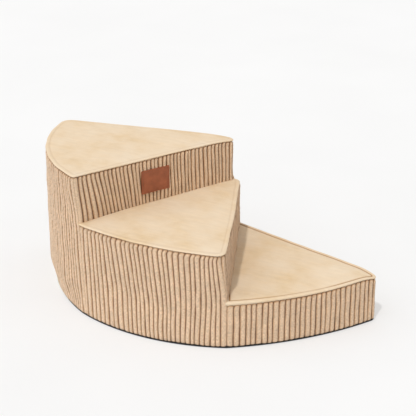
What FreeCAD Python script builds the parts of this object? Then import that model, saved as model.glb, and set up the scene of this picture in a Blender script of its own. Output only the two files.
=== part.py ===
import FreeCAD, Part
import math
import os
import Sketcher

os.makedirs("parts", exist_ok=True)
doc = FreeCAD.newDocument("FanSteps")

# Three foam wedges share one vertical apex line at the back and fan round it, each one a rise lower
# than the last. A wedge's frame has its origin on the apex line at floor level and X along the
# wedge's bisector. Its "near" side faces the high back wall or the taller wedge, and its "far" side
# faces the lower wedge or the low back wall.
# A wall's frame has the same origin, X along the wall away from the apex, and Z up.

# ---------------------------------------------------------------- driving dimensions, mm and degrees
DIMENSIONS = {
    "rise": 127.0,
    "wedge_angle": 50.5,
    "high_wall_heading": 194.25,
    "apex_x": 8.5,
    "apex_y": 246.3,
    # distance from the apex line to the corners of the fan, from the high back wall round
    "corner_high": 505.0,
    "corner_upper": 517.5,
    "corner_lower": 500.0,
    "corner_low": 487.5,
    # outer arc of each wedge, from corner to corner
    "top_arc_radius": 452.0,
    "middle_arc_radius": 754.0,
    "bottom_arc_radius": 805.0,
    # cover panels and the rolled edge of each tread
    "cord_thick": 5.0,
    "lining_gap": 1.0,
    "suede_thick": 2.0,
    "roll_width": 14.0,
    "roll_round": 6.0,
    "roll_corner": 8.0,
    "seam_drop": 9.0,
    "tip_setback": 11.0,
    # foam
    "topper_thick": 20.0,
    "foam_round": 22.0,
    # foot of the cover
    "base_thick": 3.0,
    "piping_width": 6.0,
    "piping_height": 6.0,
    # leather patch on the upper riser
    "patch_width": 86.0,
    "patch_height": 64.0,
    "patch_thick": 1.6,
    "patch_centre": 276.0,
    "patch_foot": 284.0,
    "patch_round": 4.0,
    "stitch_inset": 4.0,
    "stitch_width": 0.9,
    "stitch_proud": 0.4,
    # zip along the foot of the high back wall
    "zip_level": 40.0,
    "zip_slot": 12.0,
    "zip_begin": 50.0,
    "zip_length": 400.0,
    "tab_clear": 1.0,
    "tab_reach": 30.0,
    "tape_width": 14.0,
    "tape_thick": 0.8,
    "coil_width": 2.9,
    "coil_thick": 2.2,
    "coil_split": 0.2,
    "stop_length": 3.0,
    "stop_width": 7.0,
    "stop_thick": 2.4,
    "slider_start": 14.0,
    "slider_length": 13.0,
    "slider_width": 9.0,
    "slider_plate": 2.0,
    "slider_proud": 0.6,
    "slider_flange": 1.1,
    "slider_clear": 0.4,
    "bridge_length": 9.5,
    "bridge_width": 2.4,
    "bridge_height": 3.0,
    "bridge_bar": 1.0,
    "pull_bar_radius": 0.7,
    "pull_bar_rise": 1.0,
    "pull_arm_clear": 0.4,
    "pull_arm_width": 1.2,
    "pull_arm_length": 7.0,
    "pull_tab_begin": 5.8,
    "pull_tab_length": 18.0,
    "pull_tab_width": 7.0,
    "pull_tab_round": 2.5,
}

sheet = doc.addObject("Spreadsheet::Sheet", "Dimensions")
for row, (alias, value) in enumerate(DIMENSIONS.items(), start=1):
    sheet.set(f"A{row}", alias)
    sheet.set(f"B{row}", str(value))
    sheet.setAlias(f"B{row}", alias)
doc.recompute()

TOP, MIDDLE, BOTTOM = "top", "middle", "bottom"
LEVELS = {BOTTOM: 1, MIDDLE: 2, TOP: 3}
CORNERS = {TOP: ("corner_high", "corner_upper"), MIDDLE: ("corner_upper", "corner_lower"),
           BOTTOM: ("corner_lower", "corner_low")}
NEAR, FAR = -1, 1
ORIGIN = (-1, 1)
Z_AXIS = FreeCAD.Vector(0, 0, 1)
HALF_ANGLE = "Dimensions.wedge_angle / 2"
exported = []


# ---------------------------------------------------------------- sums of dimensions
# A size is a tuple of aliases to add, with "-" in front of one to subtract.
def value(terms):
    return sum(-DIMENSIONS[term[1:]] if term[0] == "-" else DIMENSIONS[term] for term in terms)


def text(terms):
    parts = [f"-1 * Dimensions.{term[1:]}" if term[0] == "-" else f"Dimensions.{term}" for term in terms]
    return "(" + (" + ".join(parts) or "0") + ")"


def tread_height(wedge):
    return f"{LEVELS[wedge]} * Dimensions.rise"


def turns_from_high_wall(wedge):
    """How many wedge angles lie between the high back wall and the wedge's bisector."""
    return LEVELS[TOP] - LEVELS[wedge] + 0.5


# ---------------------------------------------------------------- bodies and sketches
def new_body(label, turns, foot):
    """A body on the apex line, turned by so many wedge angles from the high back wall."""
    body = doc.addObject("PartDesign::Body", label)
    body.Label = label
    heading = DIMENSIONS["high_wall_heading"] + turns * DIMENSIONS["wedge_angle"]
    body.Placement = FreeCAD.Placement(FreeCAD.Vector(), FreeCAD.Rotation(Z_AXIS, heading))
    body.setExpression("Placement.Base.x", "Dimensions.apex_x")
    body.setExpression("Placement.Base.y", "Dimensions.apex_y")
    body.setExpression("Placement.Base.z", foot)
    turned = f"Dimensions.high_wall_heading + {turns} * Dimensions.wedge_angle"
    body.setExpression("Placement.Rotation.Angle", turned)
    return body


def floor_plane(body):
    return next(part for part in body.Origin.OriginFeatures if part.Role == "XY_Plane")


def new_sketch(body, raised="0"):
    sketch = body.newObject("Sketcher::SketchObject", f"{body.Label}_outline")
    sketch.AttachmentSupport = (floor_plane(body), [""])
    sketch.MapMode = "FlatFace"
    sketch.setExpression("AttachmentOffset.Base.z", raised)
    return sketch


def bind(sketch, kind, *where, size, rule):
    """Add one sized constraint and tie it to the sheet."""
    index = sketch.addConstraint(Sketcher.Constraint(kind, *where, size))
    sketch.setExpression(f"Constraints[{index}]", rule)


def polar(distance, angle):
    return FreeCAD.Vector(distance * math.cos(angle), distance * math.sin(angle), 0)


def wedge_corners(wedge, middle=0):
    """The ends of the wedge's outer arc, in a frame where its bisector has the angle given."""
    half = math.radians(DIMENSIONS["wedge_angle"] / 2)
    near, far = (DIMENSIONS[alias] for alias in CORNERS[wedge])
    return polar(near, middle - half), polar(far, middle + half)


def arc_centre(wedge, middle=0):
    near, far = wedge_corners(wedge, middle)
    chord = far - near
    outward = FreeCAD.Vector(chord.y, -chord.x, 0).normalize()
    depth = math.sqrt(DIMENSIONS[f"{wedge}_arc_radius"] ** 2 - (chord.Length / 2) ** 2)
    return (near + far) * 0.5 - outward * depth


def meet_arc(start, heading, wedge, inset):
    """Where a ray crosses the wedge's outer arc drawn in by the inset."""
    centre = arc_centre(wedge)
    radius = DIMENSIONS[f"{wedge}_arc_radius"] - value(inset)
    ray = polar(1, heading)
    along = (centre - start).dot(ray)
    aside = (centre - start).Length ** 2 - along ** 2
    return start + ray * (along + math.sqrt(radius ** 2 - aside))


def draw_arc(sketch, wedge, inset, start, end, middle=0):
    """An arc round the wedge's centre, drawn in by the inset, from start anticlockwise to end."""
    centre = arc_centre(wedge, middle)
    radius = DIMENSIONS[f"{wedge}_arc_radius"] - value(inset)
    begin = math.atan2(start.y - centre.y, start.x - centre.x)
    finish = math.atan2(end.y - centre.y, end.x - centre.x)
    circle = Part.Circle(centre, Z_AXIS, radius)
    arc = sketch.addGeometry(Part.ArcOfCircle(circle, begin, finish))
    bind(sketch, "Radius", arc, size=radius, rule=f"Dimensions.{wedge}_arc_radius - {text(inset)}")
    return arc


def draw_line(sketch, start, end, turn=None):
    """A line; one that runs from the apex outwards has its angle tied to the sheet."""
    line = sketch.addGeometry(Part.LineSegment(start, end))
    if turn is not None:
        angle = math.radians(turn * DIMENSIONS["wedge_angle"])
        bind(sketch, "Angle", line, size=angle, rule=f"{turn} * Dimensions.wedge_angle")
    return line


def join(sketch, *ends):
    for first, second in ends:
        sketch.addConstraint(Sketcher.Constraint("Coincident", *first, *second))


def guide_arc(sketch, wedge, turn=0):
    """Construction lines to the wedge's two corners and its arc between them; turn counts wedge
    angles from the sketch's X axis to the wedge's bisector."""
    middle = math.radians(turn * DIMENSIONS["wedge_angle"])
    near, far = wedge_corners(wedge, middle)
    arc = draw_arc(sketch, wedge, (), near, far, middle)
    spokes = []
    for end, corner, alias, side in ((1, near, CORNERS[wedge][0], NEAR), (2, far, CORNERS[wedge][1], FAR)):
        spoke = draw_line(sketch, FreeCAD.Vector(), corner, turn + side / 2)
        join(sketch, ((spoke, 1), ORIGIN), ((spoke, 2), (arc, end)))
        bind(sketch, "Distance", spoke, size=DIMENSIONS[alias], rule=f"Dimensions.{alias}")
        spokes.append(spoke)
    for guide in (arc, *spokes):
        sketch.toggleConstruction(guide)
    return arc


def sector_sketch(body, wedge, near, far, front, raised="0"):
    """The wedge's plan, drawn in from its near side, its far side and its outer arc."""
    half = math.radians(DIMENSIONS["wedge_angle"] / 2)
    inset_near, inset_far = value(near), value(far)
    tip_x = (inset_near + inset_far) / (2 * math.sin(half))
    tip_y = (inset_near - inset_far) / (2 * math.cos(half))
    tip = FreeCAD.Vector(tip_x, tip_y, 0)
    near_corner = meet_arc(tip, -half, wedge, front)
    far_corner = meet_arc(tip, half, wedge, front)
    sketch = new_sketch(body, raised)
    guide = guide_arc(sketch, wedge)
    near_line = draw_line(sketch, tip, near_corner, NEAR / 2)
    arc = draw_arc(sketch, wedge, front, near_corner, far_corner)
    far_line = draw_line(sketch, tip, far_corner, FAR / 2)
    join(sketch, ((near_line, 1), (far_line, 1)), ((near_line, 2), (arc, 1)), ((far_line, 2), (arc, 2)),
         ((arc, 3), (guide, 3)))
    rule_x = f"({text(near)} + {text(far)}) / (2 * sin({HALF_ANGLE}))"
    rule_y = f"({text(near)} - {text(far)}) / (2 * cos({HALF_ANGLE}))"
    bind(sketch, "DistanceX", *ORIGIN, near_line, 1, size=tip_x, rule=rule_x)
    bind(sketch, "DistanceY", *ORIGIN, near_line, 1, size=tip_y, rule=rule_y)
    return sketch


def fan_sketch(body, inset):
    """The plan of the whole fan, drawn in by the inset. X is along the high back wall."""
    spread = math.radians(len(LEVELS) * DIMENSIONS["wedge_angle"])
    depth = value(inset)
    tip = FreeCAD.Vector(depth / math.tan(spread / 2), depth, 0)
    sketch = new_sketch(body)
    first = draw_line(sketch, tip, polar(DIMENSIONS["corner_high"] - depth, 0), 0)
    last = draw_line(sketch, tip, polar(DIMENSIONS["corner_low"] - depth, spread), len(LEVELS))
    join(sketch, ((first, 1), (last, 1)))
    previous = (first, 2)
    for wedge in (TOP, MIDDLE, BOTTOM):
        turn = turns_from_high_wall(wedge)
        guide = guide_arc(sketch, wedge, turn)
        middle = math.radians(turn * DIMENSIONS["wedge_angle"])
        ends = [corner * (1 - depth / corner.Length) for corner in wedge_corners(wedge, middle)]
        arc = draw_arc(sketch, wedge, inset, *ends, middle)
        join(sketch, (previous, (arc, 1)), ((arc, 3), (guide, 3)))
        previous = (arc, 2)
    join(sketch, (previous, (last, 2)))
    rule_x = f"{text(inset)} / tan({len(LEVELS)} * {HALF_ANGLE})"
    bind(sketch, "DistanceX", *ORIGIN, first, 1, size=tip.x, rule=rule_x)
    bind(sketch, "DistanceY", *ORIGIN, first, 1, size=tip.y, rule=text(inset))
    return sketch


def outer_wall_sketch(body, wedge, thick):
    """A strip between the wedge's outer arc and the same arc drawn in by the thickness."""
    half = math.radians(DIMENSIONS["wedge_angle"] / 2)
    outer = wedge_corners(wedge)
    inner = [meet_arc(FreeCAD.Vector(), side * half, wedge, thick) for side in (NEAR, FAR)]
    sketch = new_sketch(body)
    guide = guide_arc(sketch, wedge)
    outer_arc = draw_arc(sketch, wedge, (), *outer)
    inner_arc = draw_arc(sketch, wedge, thick, *inner)
    join(sketch, ((outer_arc, 3), (guide, 3)), ((inner_arc, 3), (guide, 3)))
    for end, side in ((1, NEAR), (2, FAR)):
        edge = draw_line(sketch, inner[end - 1], outer[end - 1], side / 2)
        join(sketch, ((edge, 1), (inner_arc, end)), ((edge, 2), (outer_arc, end)))
        sketch.addConstraint(Sketcher.Constraint("PointOnObject", *ORIGIN, edge))
    return sketch


def side_wall_sketch(body, wedge, side, thick):
    """A strip along one side of the wedge, from near the apex to the inside of the outer wall."""
    half = side * math.radians(DIMENSIONS["wedge_angle"] / 2)
    inward = polar(1, half - side * math.pi / 2)
    outside = polar(DIMENSIONS["tip_setback"], half)
    inside = outside + inward * value(thick)
    outside_end = meet_arc(outside, half, wedge, thick)
    inside_end = meet_arc(inside, half, wedge, thick)
    sketch = new_sketch(body)
    guide = guide_arc(sketch, wedge)
    face = draw_line(sketch, outside, outside_end, side / 2)
    lining = draw_line(sketch, inside, inside_end, side / 2)
    ends = (outside_end, inside_end) if side == NEAR else (inside_end, outside_end)
    arc = draw_arc(sketch, wedge, thick, *ends)
    start = draw_line(sketch, outside, inside)
    face_end, lining_end = ((arc, 1), (arc, 2)) if side == NEAR else ((arc, 2), (arc, 1))
    join(sketch, ((face, 2), face_end), ((lining, 2), lining_end), ((arc, 3), (guide, 3)),
         ((start, 1), (face, 1)), ((start, 2), (lining, 1)))
    sketch.addConstraint(Sketcher.Constraint("PointOnObject", *ORIGIN, face))
    sketch.addConstraint(Sketcher.Constraint("Perpendicular", start, face))
    setback = DIMENSIONS["tip_setback"]
    bind(sketch, "Distance", *ORIGIN, face, 1, size=setback, rule="Dimensions.tip_setback")
    bind(sketch, "Distance", start, size=value(thick), rule=text(thick))
    return sketch


def pad(body, sketch, height):
    feature = body.newObject("PartDesign::Pad", f"{body.Label}_pad")
    feature.Profile = sketch
    feature.setExpression("Length", height)
    sketch.Visibility = False
    doc.recompute()
    return feature


def hollow(body, sketch):
    pocket = body.newObject("PartDesign::Pocket", f"{body.Label}_hollow")
    pocket.Profile = sketch
    pocket.Type = "ThroughAll"
    pocket.Reversed = True
    sketch.Visibility = False
    doc.recompute()


def block(body, corner, size, kind="AdditiveBox"):
    """A box added to the body, or cut from it, with its low corner and its size as expressions."""
    box = body.newObject(f"PartDesign::{kind}", f"{body.Label}_block")
    box.AttachmentSupport = (floor_plane(body), [""])
    box.MapMode = "FlatFace"
    for axis, start in zip("xyz", corner):
        box.setExpression(f"AttachmentOffset.Base.{axis}", start)
    for side, length in zip(("Length", "Width", "Height"), size):
        box.setExpression(side, length)
    doc.recompute()
    return box


def round_edges(body, feature, radius, wanted):
    """Fillet the edges of the feature that the test picks, by two points on each."""
    names = []
    for index, edge in enumerate(feature.Shape.Edges, start=1):
        low, high = edge.ParameterRange
        if wanted(edge.valueAt(low), edge.valueAt((low + high) / 2)):
            names.append(f"Edge{index}")
    fillet = body.newObject("PartDesign::Fillet", f"{body.Label}_round")
    fillet.Base = (feature, names)
    fillet.setExpression("Radius", f"Dimensions.{radius}")
    doc.recompute()
    return fillet


def is_upright(start, middle):
    return (middle - start).cross(Z_AXIS).Length < 1e-6


def keep(part):
    exported.append(part)
    return part


# ---------------------------------------------------------------- soft parts
LINED = ("cord_thick", "lining_gap")
PAST_LINING = ("-cord_thick", "-lining_gap")
ROLLED = ("roll_width",)


def sector_body(label, wedge, foot, height, near, far, front):
    body = new_body(label, turns_from_high_wall(wedge), foot)
    pad(body, sector_sketch(body, wedge, near, far, front), height)
    return body


def near_inset(wedge, exposed, covered):
    """Only the top wedge's near side is exposed: the others meet the taller wedge there."""
    return exposed if wedge == TOP else covered


def foam_block(wedge):
    """The load-bearing foam, glued to its neighbour along the whole of the shared side."""
    buried = "Dimensions.suede_thick - Dimensions.topper_thick - Dimensions.base_thick"
    height = f"{tread_height(wedge)} - {buried}"
    near = near_inset(wedge, LINED, PAST_LINING)
    body = sector_body(f"foam_{wedge}", wedge, "Dimensions.base_thick", height, near, LINED, LINED)
    round_edges(body, body.Tip, "foam_round", is_upright)
    return keep(body)


def foam_topper(wedge):
    """Softer foam with a step round it, which the rolled edge sits on."""
    foot = f"{tread_height(wedge)} - Dimensions.suede_thick - Dimensions.topper_thick"
    step = "Dimensions.topper_thick + Dimensions.suede_thick - Dimensions.seam_drop"
    body = sector_body(f"topper_{wedge}", wedge, foot, step, near_inset(wedge, LINED, ()), LINED, LINED)
    upper = sector_sketch(body, wedge, near_inset(wedge, ROLLED, ()), ROLLED, ROLLED, step)
    pad(body, upper, "Dimensions.seam_drop - Dimensions.suede_thick")
    return keep(body)


def tread_panel(wedge):
    """The flat suede top, inside the rolled edge."""
    foot = f"{tread_height(wedge)} - Dimensions.suede_thick"
    near = near_inset(wedge, ROLLED, ())
    return keep(sector_body(f"tread_{wedge}", wedge, foot, "Dimensions.suede_thick", near, ROLLED, ROLLED))


def rolled_edge(wedge):
    """The suede-wrapped roll round the exposed sides of the tread."""
    foot = f"{tread_height(wedge)} - Dimensions.seam_drop"
    body = sector_body(f"rolled_edge_{wedge}", wedge, foot, "Dimensions.seam_drop", (), (), ())
    ridge = DIMENSIONS["seam_drop"]
    half = math.radians(DIMENSIONS["wedge_angle"] / 2)
    near_face = FreeCAD.Vector(math.sin(half), math.cos(half), 0)

    def is_exposed(point):
        return wedge == TOP or point.dot(near_face) > 1e-3

    def is_exposed_corner(start, middle):
        return is_upright(start, middle) and (is_exposed(middle) or middle.x < 1e-3)

    def is_exposed_rim(start, middle):
        return min(start.z, middle.z) > ridge - 1e-6 and is_exposed(middle)

    corners = round_edges(body, body.Tip, "roll_corner", is_exposed_corner)
    round_edges(body, corners, "roll_round", is_exposed_rim)
    open_side = ("-roll_width",)
    hollow(body, sector_sketch(body, wedge, near_inset(wedge, ROLLED, open_side), ROLLED, ROLLED))
    return keep(body)


def outer_wall(wedge):
    body = new_body(f"outer_wall_{wedge}", turns_from_high_wall(wedge), "Dimensions.piping_height")
    height = f"{tread_height(wedge)} - Dimensions.seam_drop - Dimensions.piping_height"
    pad(body, outer_wall_sketch(body, wedge, ("cord_thick",)), height)
    return keep(body)


def side_wall(label, wedge, side, foot, head):
    body = new_body(label, turns_from_high_wall(wedge), foot)
    pad(body, side_wall_sketch(body, wedge, side, ("cord_thick",)), f"{head} - ({foot})")
    return keep(body)


def base_fabric():
    """The non-slip fabric that the stair stands on."""
    body = new_body("base_fabric", 0, "0")
    pad(body, fan_sketch(body, ("piping_width",)), "Dimensions.base_thick")
    return keep(body)


def base_piping():
    """The piping round the foot of the cover."""
    body = new_body("base_piping", 0, "0")
    pad(body, fan_sketch(body, ()), "Dimensions.piping_height")
    hollow(body, fan_sketch(body, ("piping_width",)))
    return keep(body)


# ---------------------------------------------------------------- leather patch on the upper riser
def patch_and_stitching():
    turns = 1
    left = "Dimensions.patch_centre - Dimensions.patch_width / 2"
    size = ("Dimensions.patch_width", "Dimensions.patch_thick", "Dimensions.patch_height")
    patch = new_body("leather_patch", turns, "0")
    slab = block(patch, (left, "0", "Dimensions.patch_foot"), size)
    round_edges(patch, slab, "patch_round", lambda start, middle: abs((middle - start).y) > 0.1)
    keep(patch)

    stitching = new_body("patch_stitching", turns, "0")
    for inset, cut in (("Dimensions.stitch_inset", "AdditiveBox"),
                       ("(Dimensions.stitch_inset + Dimensions.stitch_width)", "SubtractiveBox")):
        corner = (f"{left} + {inset}", "Dimensions.patch_thick", f"Dimensions.patch_foot + {inset}")
        size = (f"Dimensions.patch_width - 2 * {inset}", "Dimensions.stitch_proud",
                f"Dimensions.patch_height - 2 * {inset}")
        block(stitching, corner, size, cut)
    keep(stitching)


# ---------------------------------------------------------------- zip along the high back wall
# In the wall's frame the cover's outer face is y = 0 and y grows inwards.
ZIP_TURNS = 0
LEVEL = "Dimensions.zip_level"
LINING_FACE = "Dimensions.cord_thick"
SLIDER_X = "(Dimensions.zip_begin + Dimensions.slider_start)"


def wall_body(label):
    return new_body(label, ZIP_TURNS, "0")


def zip_tabs():
    """Fabric tabs that close the slot beyond both ends of the zip."""
    slot_foot = f"{LEVEL} - Dimensions.zip_slot / 2"
    inner = wall_body("zip_tab_inner")
    length = "Dimensions.zip_begin - Dimensions.tab_clear - Dimensions.tip_setback"
    block(inner, ("Dimensions.tip_setback", "0", slot_foot), (length, LINING_FACE, "Dimensions.zip_slot"))
    keep(inner)
    outer = wall_body("zip_tab_outer")
    start = "Dimensions.zip_begin + Dimensions.zip_length + Dimensions.tab_clear"
    block(outer, (start, "0", slot_foot), ("Dimensions.tab_reach", LINING_FACE, "Dimensions.zip_slot"))
    keep(outer)


def zip_tapes_and_coils():
    stop_end = "(Dimensions.zip_begin + Dimensions.stop_length)"
    coil_length = "Dimensions.zip_length - 2 * Dimensions.stop_length"
    coil_face = f"{LINING_FACE} - Dimensions.coil_thick"
    gap = "Dimensions.coil_split / 2"
    below = f"{LEVEL} - {gap}"
    for name, tape_foot, coil_foot in (
            ("upper", f"{LEVEL} + {gap}", f"{LEVEL} + {gap}"),
            ("lower", f"{below} - Dimensions.tape_width", f"{below} - Dimensions.coil_width")):
        tape = wall_body(f"zip_tape_{name}")
        size = ("Dimensions.zip_length", "Dimensions.tape_thick", "Dimensions.tape_width")
        block(tape, ("Dimensions.zip_begin", LINING_FACE, tape_foot), size)
        keep(tape)
        coil = wall_body(f"zip_coil_{name}")
        size = (coil_length, "Dimensions.coil_thick", "Dimensions.coil_width")
        block(coil, (stop_end, coil_face, coil_foot), size)
        keep(coil)


def zip_stops():
    face = f"{LINING_FACE} - Dimensions.stop_thick"
    foot = f"{LEVEL} - Dimensions.stop_width / 2"
    size = ("Dimensions.stop_length", "Dimensions.stop_thick", "Dimensions.stop_width")
    last = "Dimensions.zip_begin + Dimensions.zip_length - Dimensions.stop_length"
    for name, start in (("inner", "Dimensions.zip_begin"), ("outer", last)):
        stop = wall_body(f"zip_stop_{name}")
        block(stop, (start, face, foot), size)
        keep(stop)


def zip_slider():
    """A plate over the coils, two flanges beside them, and the bridge that holds the pull."""
    body = wall_body("zip_slider")
    plate_foot = f"{LEVEL} - Dimensions.slider_width / 2"
    plate_start = f"{SLIDER_X} - Dimensions.slider_length / 2"
    plate_face = "-1 * Dimensions.slider_proud"
    block(body, (plate_start, plate_face, plate_foot),
          ("Dimensions.slider_length", "Dimensions.slider_plate", "Dimensions.slider_width"))
    flange_start = f"{plate_face} + Dimensions.slider_plate"
    flange_reach = f"{LINING_FACE} - Dimensions.slider_clear - ({flange_start})"
    flange_size = ("Dimensions.slider_length", flange_reach, "Dimensions.slider_flange")
    block(body, (plate_start, flange_start, plate_foot), flange_size)
    upper_foot = f"{LEVEL} + Dimensions.slider_width / 2 - Dimensions.slider_flange"
    block(body, (plate_start, flange_start, upper_foot), flange_size)
    bridge_start = f"{SLIDER_X} - Dimensions.bridge_length / 2"
    bridge_end = f"{SLIDER_X} + Dimensions.bridge_length / 2 - Dimensions.bridge_bar"
    bridge_face = f"{plate_face} - Dimensions.bridge_height"
    bridge_foot = f"{LEVEL} - Dimensions.bridge_width / 2"
    foot_size = ("Dimensions.bridge_bar", "Dimensions.bridge_height", "Dimensions.bridge_width")
    block(body, (bridge_start, bridge_face, bridge_foot), foot_size)
    block(body, (bridge_end, bridge_face, bridge_foot), foot_size)
    block(body, (bridge_start, bridge_face, bridge_foot),
          ("Dimensions.bridge_length", "Dimensions.bridge_bar", "Dimensions.bridge_width"))
    keep(body)


def zip_pull():
    """A flat tab on two arms, joined by the bar that turns under the slider's bridge."""
    body = wall_body("zip_pull")
    radius = "Dimensions.pull_bar_radius"
    bar_y = "(-1 * Dimensions.slider_proud - Dimensions.pull_bar_rise)"
    arm_gap = "(Dimensions.bridge_width / 2 + Dimensions.pull_arm_clear)"
    arm_size = ("Dimensions.pull_arm_length", f"2 * {radius}", "Dimensions.pull_arm_width")
    bar = body.newObject("PartDesign::AdditiveCylinder", "zip_pull_bar")
    bar.AttachmentSupport = (floor_plane(body), [""])
    bar.MapMode = "FlatFace"
    bar.setExpression("AttachmentOffset.Base.x", SLIDER_X)
    bar.setExpression("AttachmentOffset.Base.y", bar_y)
    bar.setExpression("AttachmentOffset.Base.z", f"{LEVEL} - {arm_gap} - Dimensions.pull_arm_width")
    bar.setExpression("Radius", radius)
    bar.setExpression("Height", f"2 * ({arm_gap} + Dimensions.pull_arm_width)")
    doc.recompute()
    arm_y = f"{bar_y} - {radius}"
    block(body, (SLIDER_X, arm_y, f"{LEVEL} + {arm_gap}"), arm_size)
    block(body, (SLIDER_X, arm_y, f"{LEVEL} - {arm_gap} - Dimensions.pull_arm_width"), arm_size)
    tab_start = f"{SLIDER_X} + Dimensions.pull_tab_begin"
    tab_size = ("Dimensions.pull_tab_length", f"2 * {radius}", "Dimensions.pull_tab_width")
    tab = block(body, (tab_start, arm_y, f"{LEVEL} - Dimensions.pull_tab_width / 2"), tab_size)
    tab_end = DIMENSIONS["zip_begin"] + DIMENSIONS["slider_start"] + DIMENSIONS["pull_tab_begin"]
    tab_end += DIMENSIONS["pull_tab_length"]

    def at_free_end(start, middle):
        across = abs((middle - start).y) > 0.1 and abs((middle - start).z) < 1e-6
        return across and abs(start.x - tab_end) < 1e-3

    round_edges(body, tab, "pull_tab_round", at_free_end)
    keep(body)


for step in LEVELS:
    foam_block(step)
    foam_topper(step)
    tread_panel(step)
    rolled_edge(step)
    outer_wall(step)

SLOT_HEAD = f"{LEVEL} + Dimensions.zip_slot / 2"
SLOT_FOOT = f"{LEVEL} - Dimensions.zip_slot / 2"
side_wall("riser_upper", TOP, FAR, tread_height(MIDDLE), f"{tread_height(TOP)} - Dimensions.seam_drop")
side_wall("riser_lower", MIDDLE, FAR, tread_height(BOTTOM), f"{tread_height(MIDDLE)} - Dimensions.seam_drop")
side_wall("back_wall_high", TOP, NEAR, SLOT_HEAD, f"{tread_height(TOP)} - Dimensions.seam_drop")
side_wall("back_hem", TOP, NEAR, "Dimensions.piping_height", SLOT_FOOT)
side_wall("back_wall_low", BOTTOM, FAR, "Dimensions.piping_height",
          f"{tread_height(BOTTOM)} - Dimensions.seam_drop")
base_fabric()
base_piping()
patch_and_stitching()
zip_tabs()
zip_tapes_and_coils()
zip_stops()
zip_slider()
zip_pull()

# ---------------------------------------------------------------- check and export
doc.recompute()
for item in doc.Objects:
    if {"Invalid", "Error"} & set(item.State):
        raise RuntimeError(f"{item.Label} did not build: {item.State}")
for part in exported:
    if part.Shape.isNull() or not part.Shape.isValid() or not part.Shape.Solids:
        raise RuntimeError(f"{part.Label} has no valid solid")
    part.Shape.exportStep(f"parts/{part.Label}.step")
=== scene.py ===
"""Looks of a curved three-step pet stair: corduroy walls, suede treads, a leather patch, a zip and a
non-slip base.

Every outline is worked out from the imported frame. Lengths are metres, and +Z is up.
"""

import math

import bpy
import numpy as np
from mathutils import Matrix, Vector


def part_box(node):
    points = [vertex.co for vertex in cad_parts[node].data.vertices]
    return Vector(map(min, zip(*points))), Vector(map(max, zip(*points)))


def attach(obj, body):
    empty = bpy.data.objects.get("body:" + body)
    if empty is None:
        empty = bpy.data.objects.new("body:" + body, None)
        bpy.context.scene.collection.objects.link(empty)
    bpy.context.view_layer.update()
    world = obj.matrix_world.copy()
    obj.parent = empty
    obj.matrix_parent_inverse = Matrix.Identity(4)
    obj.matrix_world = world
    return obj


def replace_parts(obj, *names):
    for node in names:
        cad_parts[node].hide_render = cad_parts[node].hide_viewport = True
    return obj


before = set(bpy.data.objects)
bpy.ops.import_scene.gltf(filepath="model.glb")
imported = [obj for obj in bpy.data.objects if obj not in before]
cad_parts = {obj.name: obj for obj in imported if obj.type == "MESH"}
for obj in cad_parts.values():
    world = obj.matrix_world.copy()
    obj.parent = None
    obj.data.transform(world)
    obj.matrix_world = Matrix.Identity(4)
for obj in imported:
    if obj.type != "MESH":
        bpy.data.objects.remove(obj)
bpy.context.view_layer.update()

MM = 0.001

# Corduroy: a cord's relief and its mesh columns, how a panel's edges roll in, and how uneven the cords are
WALE_HEIGHT = 4.2 * MM
WALE_PROUD = 0.6 * MM
WALE_COLUMNS = (0.0, 0.07, 0.19, 0.34, 0.5, 0.66, 0.81, 0.93)
WALE_POWER = 2.7
WALE_WIDTHS = (0.84, 1.16)
FULL_CORD = 0.62
ROW_STEP = 3.0 * MM
CURL_ROWS = 6
TOP_CURL = 7.0 * MM
FOOT_CURL = 5.0 * MM
ZIP_CURL = 4.0 * MM
SHELL = 8.0 * MM
END_VALLEY = 2.6 * MM
END_VALLEY_WIDTH = 9 * MM
END_HOLD = 18 * MM
HOOK_FROM = 14 * MM
HOOK_OVER = 13 * MM
LOW_AT_FOOT = 6 * MM
LOW_AT_TOP = 7 * MM
# Painted shade: over these heights the cords' colour darkens at the foot and under the tread's rolled edge
DARK_AT_FOOT = 3 * MM
DARK_AT_TOP = 3.5 * MM
WAVER = 0.40 * MM
DRIFT = 0.5 * MM
BILLOW = 0.55 * MM
FUZZ = 0.26 * MM

# Plan: corner radii, how far the risers stand out of a straight line, and the spacing of points
CORNER_BACK = 28 * MM
CORNER_TOP_FRONT = 8 * MM
CORNER_MIDDLE_FRONT = 22 * MM
CORNER_MIDDLE_FOOT = 4 * MM
CORNER_LOW_BACK = 19 * MM
CORNER_LOW_FOOT = 16 * MM
TIP_HIGH = 14.5 * MM
TIP_MIDDLE = 24 * MM
TIP_LOW = 17 * MM
SHARP = 1.5 * MM
LOWER_FOOT_BOW = 3 * MM
LOWER_TOP_BOW = 4 * MM
UPPER_FOOT_BEND = 11 * MM
BEND_REACH = 130 * MM
PLAN_STEP = 1.5 * MM
LOOP_STEP = 6 * MM
CORNER_STEPS = 8
SETTLE = 90 * MM
TANGENT_STEP = 2 * MM

# Walls
FLARE_TOP = 80 * MM
STEP_IN = 8 * MM
STEP_OUT = 1 * MM
OVERLAP = 5 * MM
LEAN = 36 * MM
BACK_EASE = 22 * MM
BACK_PITCH = 13 * MM
ZIP_TAPER = 9 * MM

# Treads: the rolled edge, the seam line inside it, the soft top, and the part under the next block
ROLL_WIDTH = 10 * MM
ROLL_TALL = 10 * MM
ROLL_SLIM = 5 * MM
ROLL_FADE = 450 * MM
ROLL_START = -0.45 * math.pi
# Painted shade in the seam line: how far inside the rolled edge it lies and how wide it is
SEAM_OFFSET = 0.8 * MM
SEAM_WIDTH = 2.0 * MM
SEAM_FADE = 6 * MM
GROOVE_DEEP = 3.0 * MM
GROOVE_FRONT = 0.8 * MM
GROOVE_SLIM = 0.45 * MM
PAD_DEPTH = 22 * MM
TREAD_CROWN = 2.5 * MM
RINGS = 26
TUCK = 45 * MM
TUCK_RADIUS = 5 * MM
CUT_RADIUS = 2 * MM
CUT_SLIDE = 5 * MM

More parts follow.
